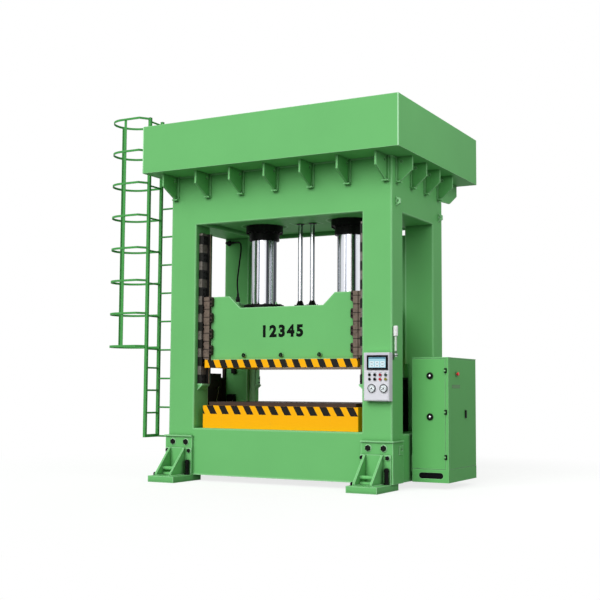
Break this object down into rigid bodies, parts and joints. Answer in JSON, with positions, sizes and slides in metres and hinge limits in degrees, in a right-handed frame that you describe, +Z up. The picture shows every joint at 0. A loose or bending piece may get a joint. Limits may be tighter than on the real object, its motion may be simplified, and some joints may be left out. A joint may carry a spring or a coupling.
{
  "type": "hydraulic press",
  "caption": "Hydraulic press with a welded column frame, with a guided slide over a bolster, a top platform with a caged ladder, and a hung electrical cabinet.",
  "frame": {"origin": "centre of the four anchor holes in the feet, on the floor", "axes": "+X right seen from the operator's side, +Y to the back, +Z up"},
  "size_m": [4.846, 2.806, 4.989],
  "materials": {
    "green_paint": "semi-gloss machine paint",
    "yellow_paint": "semi-gloss paint with black hazard stripes",
    "black_paint": "satin",
    "machined_steel": "machined, lightly oiled",
    "hard_chrome": "polished",
    "grey_paint": "satin",
    "black_plastic": "matt",
    "red_plastic": "gloss",
    "green_plastic": "gloss",
    "yellow_plastic": "gloss",
    "white_plastic": "gloss",
    "hose_rubber": "matt"
  },
  "bodies": {
    "press_frame": {"anchor_studs": "black_paint", "beacon_lamp": "white_plastic", "beacon_pole": "white_plastic", "bolster": "yellow_paint", "bolster_plate": "machined_steel", "cabinet_body": "green_paint", "cabinet_hinges": "black_paint", "control_box": "grey_paint", "cylinder_gland_left": "black_paint", "cylinder_gland_right": "black_paint", "foot_back_left": "green_paint", "foot_back_right": "green_paint", "foot_bolts": "black_paint", "foot_front_left": "green_paint", "foot_front_right": "green_paint", "gauge_left": "machined_steel", "gauge_right": "machined_steel", "guide_rails_left": "machined_steel", "guide_rails_right": "machined_steel", "hmi_panel": "black_plastic", "hose": "hose_rubber", "hose_union": "machined_steel", "junction_box": "grey_paint", "ladder": "green_paint", "ladder_cage": "green_paint", "main_cylinder_left": "green_paint", "main_cylinder_right": "green_paint", "motor_pump_left": "green_paint", "motor_pump_right": "green_paint", "oil_tank": "green_paint", "return_cylinders": "green_paint", "side_guard_left": "green_paint", "side_guard_right": "green_paint", "top_platform": "green_paint", "valve_manifold": "machined_steel", "welded_frame": "green_paint"},
    "slide": {"slide_body": "green_paint", "slide_platen": "yellow_paint", "piston_rod_left": "hard_chrome", "piston_rod_right": "hard_chrome", "return_rod_left": "hard_chrome", "return_rod_right": "hard_chrome", "slide_shoes_left": "machined_steel", "slide_shoes_right": "machined_steel"},
    "front_door": {"cabinet_front_door": "green_paint"},
    "side_door": {"cabinet_side_door": "green_paint"},
    "handle": {"door_handle": "machined_steel"},
    "estop": {"estop_button": "red_plastic"},
    "lock_top": {"lock_upper": "machined_steel"},
    "lock_bottom": {"lock_lower": "machined_steel"},
    "needle_a": {"needle_left": "black_plastic"},
    "needle_b": {"needle_right": "black_plastic"},
    "selector_a": {"selector_upper": "black_plastic"},
    "selector_b": {"selector_lower": "black_plastic"},
    "key_upper_1": {"button_upper_1": "black_plastic"},
    "key_upper_2": {"button_upper_2": "red_plastic"},
    "key_upper_3": {"button_upper_3": "green_plastic"},
    "key_lower_1": {"button_lower_1": "black_plastic"},
    "key_lower_2": {"button_lower_2": "red_plastic"},
    "key_lower_3": {"button_lower_3": "yellow_plastic"}
  },
  "joints": [
    {"name": "slide_travel", "type": "slide", "parent": "press_frame", "child": "slide", "axis": [0, 0, 1], "range_m": [-0.16, 0.65], "deforming": ["hose"]},
    {"name": "selector_lower_turn", "type": "hinge", "parent": "press_frame", "child": "selector_b", "pos_m": [1.4, -0.9675, 1.353], "axis": [0, 1, 0], "range_deg": [-45, 45]},
    {"name": "button_lower_1_press", "type": "slide", "parent": "press_frame", "child": "key_lower_1", "axis": [0, 1, 0], "range_m": [0, 0.004], "stiffness_N_per_m": 300},
    {"name": "button_lower_2_press", "type": "slide", "parent": "press_frame", "child": "key_lower_2", "axis": [0, 1, 0], "range_m": [0, 0.004], "stiffness_N_per_m": 300},
    {"name": "button_lower_3_press", "type": "slide", "parent": "press_frame", "child": "key_lower_3", "axis": [0, 1, 0], "range_m": [0, 0.004], "stiffness_N_per_m": 300},
    {"name": "selector_upper_turn", "type": "hinge", "parent": "press_frame", "child": "selector_a", "pos_m": [1.4, -0.9675, 1.407], "axis": [0, 1, 0], "range_deg": [-45, 45]},
    {"name": "button_upper_1_press", "type": "slide", "parent": "press_frame", "child": "key_upper_1", "axis": [0, 1, 0], "range_m": [0, 0.004], "stiffness_N_per_m": 300},
    {"name": "button_upper_2_press", "type": "slide", "parent": "press_frame", "child": "key_upper_2", "axis": [0, 1, 0], "range_m": [0, 0.004], "stiffness_N_per_m": 300},
    {"name": "button_upper_3_press", "type": "slide", "parent": "press_frame", "child": "key_upper_3", "axis": [0, 1, 0], "range_m": [0, 0.004], "stiffness_N_per_m": 300},
    {"name": "needle_a_sweep", "type": "hinge", "parent": "press_frame", "child": "needle_a", "pos_m": [1.432, -0.9805, 1.243], "axis": [0, 1, 0], "range_deg": [0, 270]},
    {"name": "needle_b_sweep", "type": "hinge", "parent": "press_frame", "child": "needle_b", "pos_m": [1.59, -0.9805, 1.243], "axis": [0, 1, 0], "range_deg": [0, 270]},
    {"name": "front_door_swing", "type": "hinge", "parent": "press_frame", "child": "front_door", "pos_m": [2.1325, -0.334, 0.95], "axis": [0, 0, 1], "range_deg": [0, 110]},
    {"name": "side_door_swing", "type": "hinge", "parent": "press_frame", "child": "side_door", "pos_m": [2.164, 0.695, 0.95], "axis": [0, 0, 1], "range_deg": [0, 110]},
    {"name": "handle_turn", "type": "hinge", "parent": "side_door", "child": "handle", "pos_m": [2.174, 0.28, 0.957], "axis": [1, 0, 0], "range_deg": [0, 90]},
    {"name": "estop_press", "type": "slide", "parent": "side_door", "child": "estop", "axis": [-1, 0, 0], "range_m": [0, 0.006]},
    {"name": "lock_top_turn", "type": "hinge", "parent": "front_door", "child": "lock_top", "pos_m": [1.93, -0.319, 1.403], "axis": [0, 1, 0], "range_deg": [0, 90]},
    {"name": "lock_bottom_turn", "type": "hinge", "parent": "front_door", "child": "lock_bottom", "pos_m": [1.93, -0.319, 0.892], "axis": [0, 1, 0], "range_deg": [0, 90]}
  ]
}
